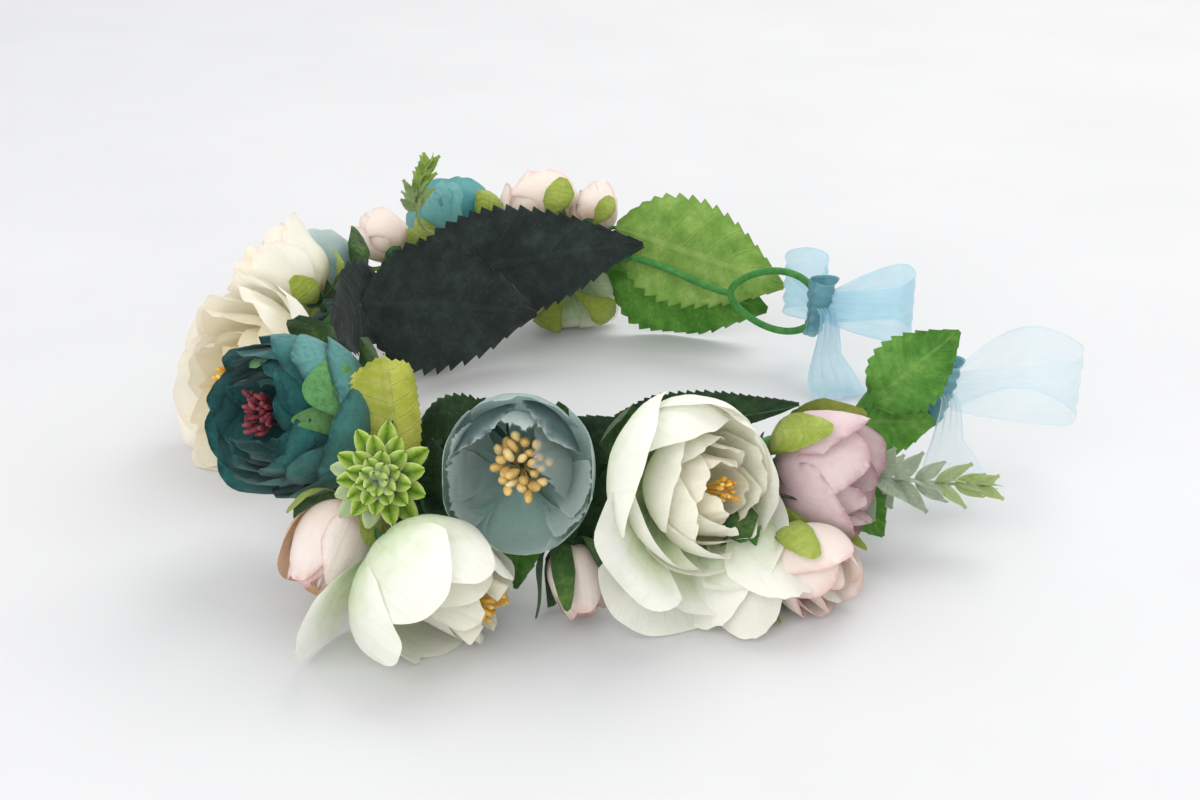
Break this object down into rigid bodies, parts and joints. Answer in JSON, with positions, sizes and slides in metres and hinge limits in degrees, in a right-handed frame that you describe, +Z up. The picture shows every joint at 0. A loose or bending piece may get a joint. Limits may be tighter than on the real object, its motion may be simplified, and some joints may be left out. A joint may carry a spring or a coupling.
{
  "type": "flower crown",
  "caption": "Open wire ring wound with tape that carries silk blooms, leaves and picks, with an eye at each end and a sheer ribbon tied to each eye.",
  "frame": {"origin": "centre of the bounding box, on the plane that the lowest blooms rest on", "axes": "+X towards the gap of the ring, worn at the back of the head; -Y towards the side with the largest blooms; +Z up as the crown lies on a table"},
  "size_m": [0.283, 0.2589, 0.0736],
  "materials": {
    "steel_wire": "satin",
    "paper_cover": "matt green paper over wire",
    "floral_tape": "matt stretched tape",
    "organza": "sheer pale blue organza",
    "teal_silk": "matt woven silk, deep teal",
    "sage_silk": "matt woven silk, grey green",
    "white_silk": "matt woven silk, greenish white",
    "cream_silk": "matt woven silk, cream",
    "blush_silk": "matt woven silk, blush",
    "mauve_silk": "matt woven silk, dusty mauve",
    "calyx_green": "matt moulded green",
    "stamen_beads": "matt beads on thread",
    "leaf_chartreuse": "matt printed leaf cloth",
    "leaf_dark": "matt printed leaf cloth, near black green",
    "leaf_green": "matt printed leaf cloth, mid green",
    "flocked_pick": "flocked",
    "sprig_green": "matt, dusted"
  },
  "bodies": {
    "crown": {"blush_bud_front_calyx": "calyx_green", "blush_bud_front_petals": "blush_silk", "blush_bud_left_calyx": "calyx_green", "blush_bud_left_petals": "blush_silk", "chartreuse_leaf": "leaf_chartreuse", "cream_peony_calyx": "calyx_green", "cream_peony_petals": "cream_silk", "cream_peony_stamens": "stamen_beads", "cream_rose_calyx": "calyx_green", "cream_rose_petals": "cream_silk", "dark_leaf_a": "leaf_dark", "dark_leaf_b": "leaf_dark", "dark_serrated_leaf": "leaf_dark", "dark_small_leaf": "leaf_dark", "end_leaf_lower": "leaf_green", "end_leaf_upper": "leaf_green", "frame_core": "steel_wire", "light_leaf_lower": "leaf_green", "light_leaf_upper": "leaf_green", "low_peony_calyx": "calyx_green", "low_peony_petals": "white_silk", "low_peony_stamens": "stamen_beads", "low_pink_bud_back_calyx": "calyx_green", "low_pink_bud_back_petals": "blush_silk", "mauve_bud_calyx": "calyx_green", "mauve_bud_petals": "mauve_silk", "pale_bud_calyx": "calyx_green", "pale_bud_petals": "blush_silk", "paper_cover": "paper_cover", "peach_bud_back_calyx": "calyx_green", "peach_bud_back_petals": "blush_silk", "pink_bud_back_calyx": "calyx_green", "pink_bud_back_petals": "blush_silk", "sage_cup_back_calyx": "calyx_green", "sage_cup_back_petals": "sage_silk", "sage_cup_calyx": "calyx_green", "sage_cup_petals": "sage_silk", "sage_cup_stamens": "stamen_beads", "side_peony_calyx": "calyx_green", "side_peony_petals": "white_silk", "succulent_pick": "flocked_pick", "tape_wrap": "floral_tape", "teal_ranunculus_back_calyx": "calyx_green", "teal_ranunculus_back_petals": "teal_silk", "teal_ranunculus_calyx": "calyx_green", "teal_ranunculus_heart": "teal_silk", "teal_ranunculus_petals": "teal_silk", "teal_ranunculus_stamens": "stamen_beads", "tucked_bud_calyx": "calyx_green", "tucked_bud_petals": "cream_silk", "white_peony_back_calyx": "calyx_green", "white_peony_back_petals": "white_silk", "white_peony_calyx": "calyx_green", "white_peony_guard_petals": "white_silk", "white_peony_inner_petals": "white_silk", "white_peony_stamens": "stamen_beads"},
    "near_bow": {"near_ribbon": "organza"},
    "far_bow": {"far_ribbon": "organza"},
    "dusty_spray": {"dusty_sprig": "sprig_green"},
    "green_spray": {"green_sprig": "sprig_green"}
  },
  "joints": [
    {"name": "near_bow_swivel", "type": "hinge", "parent": "crown", "child": "near_bow", "pos_m": [0.09649, -0.02044, 0.033], "axis": [0, 0, 1], "range_deg": [-20, 20]},
    {"name": "far_bow_swivel", "type": "hinge", "parent": "crown", "child": "far_bow", "pos_m": [0.06974, 0.06462, 0.027], "axis": [0, 0, 1], "range_deg": [-18, 6]},
    {"name": "dusty_sprig_bend", "type": "hinge", "parent": "crown", "child": "dusty_spray", "pos_m": [0.06049, -0.04774, 0.02975], "axis": [-0.151, -0.9885, 0], "range_deg": [-5, 12]},
    {"name": "green_sprig_bend", "type": "hinge", "parent": "crown", "child": "green_spray", "pos_m": [-0.06357, 0.08049, 0.04152], "axis": [0.8152, 0.5792, 0], "range_deg": [-8, 10]}
  ]
}
